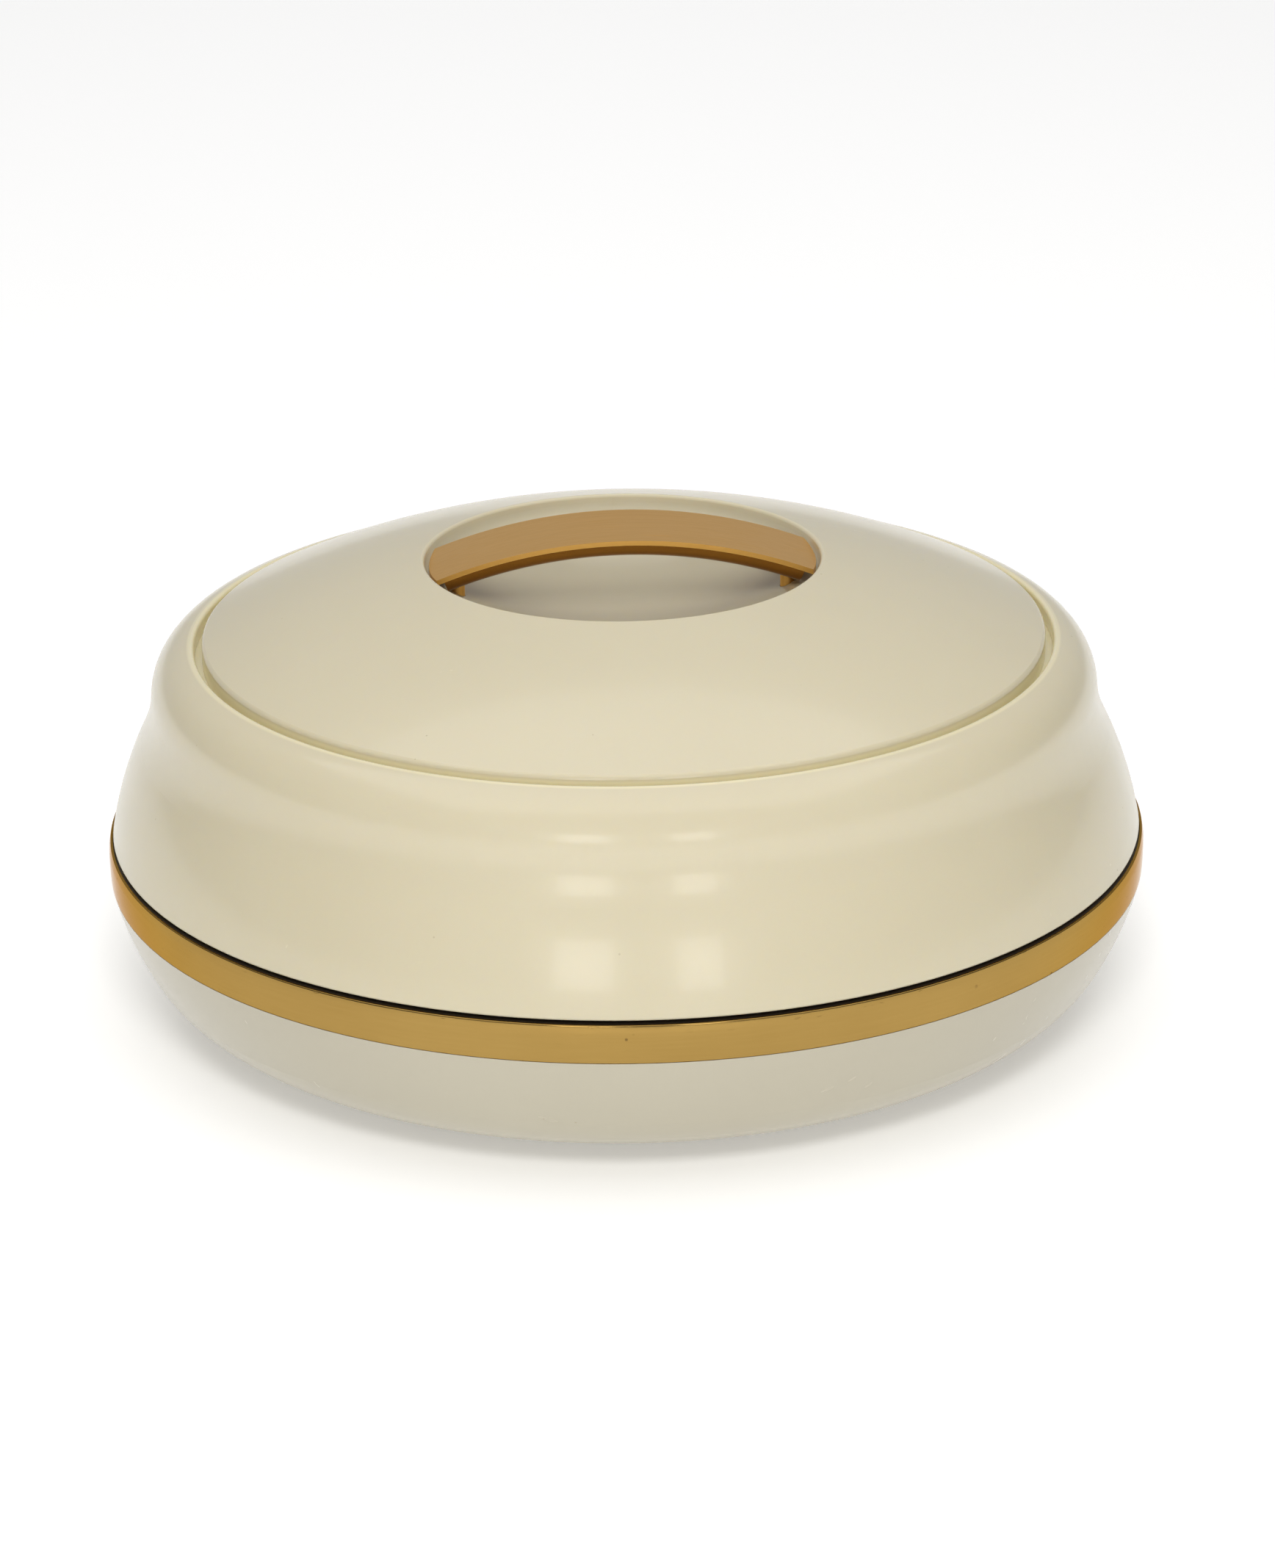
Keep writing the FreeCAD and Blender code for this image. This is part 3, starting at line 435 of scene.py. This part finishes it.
def crowned_band():
    """The gold band with its face slightly crowned and its top edge bevelled."""
    low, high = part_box("gold_band")
    radii = [math.hypot(v.co.x, v.co.y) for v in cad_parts["gold_band"].data.vertices]
    inner, outer = min(radii), max(radii)
    middle, half = (low.z + high.z) / 2, (high.z - low.z) / 2

    def face(up):
        return outer - BAND_CROWN * ((up - middle) / half) ** 2

    outline = [(inner, high.z), (inner, low.z)]
    foot = low.z + BAND_FOOT_ROUND
    for degrees in range(0, 91, ROUND_STEP):
        angle = math.radians(degrees)
        across = face(foot) - BAND_FOOT_ROUND * (1 - math.sin(angle))
        outline.append((across, foot - BAND_FOOT_ROUND * math.cos(angle)))
    bevel_foot = high.z - BEVEL_HEIGHT
    for step in range(1, FACE_STEPS):
        up = foot + (bevel_foot - foot) * step / FACE_STEPS
        outline.append((face(up), up))
    shoulder, shoulder_up = face(bevel_foot) - BEVEL_DEPTH, high.z - BAND_TOP_ROUND
    outline.append((shoulder + BEVEL_END * BEVEL_DEPTH, shoulder_up - BEVEL_END * BEVEL_HEIGHT))
    for degrees in range(ROUND_STEP, 91, ROUND_STEP):
        angle = math.radians(degrees)
        across = shoulder - BAND_TOP_ROUND * (1 - math.cos(angle))
        outline.append((across, shoulder_up + BAND_TOP_ROUND * math.sin(angle)))
    return turned_ring("crowned_gold_band", outline)


# The strap's arc: the radius of its top face, and the height of its centre, just under the floor.
STRAP_TOP = 145.729 * MM
STRAP_CENTRE_UP = -5.589 * MM
STRAP_WALL = 1.4 * MM
GRIP_GAP = 0.05 * MM
GRIP_DEPTH = 5.0 * MM
GRIP_HALF_WIDTH = 10.6 * MM
GRIP_REACH = 51.6 * MM
GRIP_TOP_ROUND = 0.6 * MM
GRIP_FOOT_ROUND = 3.6 * MM
GRIP_HALF_STEPS = 48


def long_grip():
    """The bar under the strap, bent to the strap's arc and running on over both posts."""
    top = STRAP_TOP - STRAP_WALL - GRIP_GAP
    bottom = top - GRIP_DEPTH
    outline = rounded_corners([
        (-GRIP_HALF_WIDTH, top, GRIP_TOP_ROUND),
        (GRIP_HALF_WIDTH, top, GRIP_TOP_ROUND),
        (GRIP_HALF_WIDTH, bottom, GRIP_FOOT_ROUND),
        (-GRIP_HALF_WIDTH, bottom, GRIP_FOOT_ROUND),
    ])
    swing = math.asin(GRIP_REACH / top)
    rings = []
    for step in range(2 * GRIP_HALF_STEPS + 1):
        angle = swing * (step / GRIP_HALF_STEPS - 1)
        rings.append([
            (radius * math.sin(angle), side, STRAP_CENTRE_UP + radius * math.cos(angle))
            for side, radius in outline
        ])
    return lofted("long_grip", rings)


band = crowned_band()
band.data.materials.append(BAND)
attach(band, "base")
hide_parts("gold_band")

grip = long_grip()
grip.data.materials.append(SHADED_GRIP)
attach(grip, "lid")
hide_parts("handle_grip")

WHITE = (1.0, 1.0, 1.0)
WARM_WHITE = (1.0, 0.99, 0.97)


def area_light(name, place, target, size, power, colour=WARM_WHITE, mirrored=True):
    """A soft light at place that faces target. Gloss shows it only if it is mirrored."""
    light = bpy.data.lights.new(name, "AREA")
    light.shape = "RECTANGLE"
    light.size, light.size_y = size
    light.energy = power
    light.color = colour
    lamp = bpy.data.objects.new(name, light)
    lamp.location = place
    lamp.rotation_mode = "QUATERNION"
    lamp.rotation_quaternion = (Vector(target) - Vector(place)).to_track_quat("-Z", "Y")
    lamp.visible_glossy = mirrored
    bpy.context.scene.collection.objects.link(lamp)


area_light("overhead_panel", (0.0, 0.0, 1.9), (0, 0, 0.08), (2.6, 2.2), 18.0)
area_light("key_softbox", (-0.06, -1.25, 1.15), (0, 0, 0.1), (0.45, 0.35), 9.5, mirrored=False)
area_light("floor_panel_behind", (0.0, 2.7, 1.9), (0, 2.3, 0), (3.2, 2.0), 13.0, WHITE, mirrored=False)
area_light("front_softbox_left", (-0.33, -1.55, 0.40), (0, 0, 0.09), (0.34, 0.44), 1.5)
area_light("front_softbox_right", (0.33, -1.58, 0.40), (0, 0, 0.09), (0.26, 0.44), 1.15)
area_light("front_fill", (0.0, -2.6, 1.3), (0, 0, 0.08), (2.6, 1.4), 1.0)


def pale_studio():
    """A white world that is dimmer towards both sides."""
    world = bpy.data.worlds.new("pale_studio")
    world.use_nodes = True
    tree = Tree(world.node_tree)
    sky = tree.graph.nodes["Background"]
    sky.inputs["Color"].default_value = (*WHITE, 1.0)
    sideways = tree.axes(tree.node("ShaderNodeTexCoord", out="Generated"))[0]
    strength = tree.eased(tree.maths("ABSOLUTE", sideways), 0.45, 1.0, at_low=0.44, at_high=0.14)
    tree.graph.links.new(strength.link, sky.inputs["Strength"])
    return world


bpy.context.scene.world = pale_studio()
bpy.context.scene.view_settings.view_transform = "Standard"

FLOOR_REACH = 6.0


def studio_floor():
    """A pale floor that is clear from below, so that a view from there shows the underside."""
    corners = [(-1, -1), (1, -1), (1, 1), (-1, 1)]
    mesh = bpy.data.meshes.new("studio_floor")
    mesh.from_pydata([(x * FLOOR_REACH, y * FLOOR_REACH, 0) for x, y in corners], [], [(0, 1, 2, 3)])
    paint = Paint(
        "pale_floor", Base_Color=(0.88, 0.88, 0.88, 1.0), Roughness=0.7,
        Emission_Color=(*WHITE, 1.0), Emission_Strength=0.27,
    )
    from_below = paint.node("ShaderNodeNewGeometry", out="Backfacing")
    clear = paint.node("ShaderNodeBsdfTransparent")
    pale = Value(paint, paint.shader.outputs[0])
    one_sided = paint.node("ShaderNodeMixShader", in0=from_below, in1=pale, in2=clear)
    paint.graph.links.new(one_sided.link, paint.graph.nodes["Material Output"].inputs[0])
    mesh.materials.append(paint.material)
    floor = bpy.data.objects.new("studio_floor", mesh)
    bpy.context.scene.collection.objects.link(floor)
    return floor


floor = studio_floor()

CAMERA_AWAY = 1.289
CAMERA_UP = math.radians(21.77)
CAMERA_TURN = math.radians(-3.0)
CAMERA_ROLL = math.radians(-0.77)
CAMERA_AIM = Vector((0, 0, 0.0519))


def photo_camera():
    """A camera at the photo's angle, with the photo's framing."""
    lens = bpy.data.cameras.new("photo_camera")
    lens.sensor_width = 36.0
    lens.lens = 101.2
    lens.shift_x = 0.0074
    lens.shift_y = 0.0183
    lens.clip_start = 0.05
    lens.clip_end = 50.0
    camera = bpy.data.objects.new("photo_camera", lens)
    back = Vector((
        math.sin(CAMERA_TURN) * math.cos(CAMERA_UP),
        -math.cos(CAMERA_TURN) * math.cos(CAMERA_UP),
        math.sin(CAMERA_UP),
    ))
    camera.location = CAMERA_AIM + back * CAMERA_AWAY
    camera.rotation_mode = "QUATERNION"
    camera.rotation_quaternion = (-back).to_track_quat("-Z", "Y") @ Quaternion((0, 0, 1), CAMERA_ROLL)
    bpy.context.scene.collection.objects.link(camera)
    return camera


bpy.context.scene.camera = photo_camera()
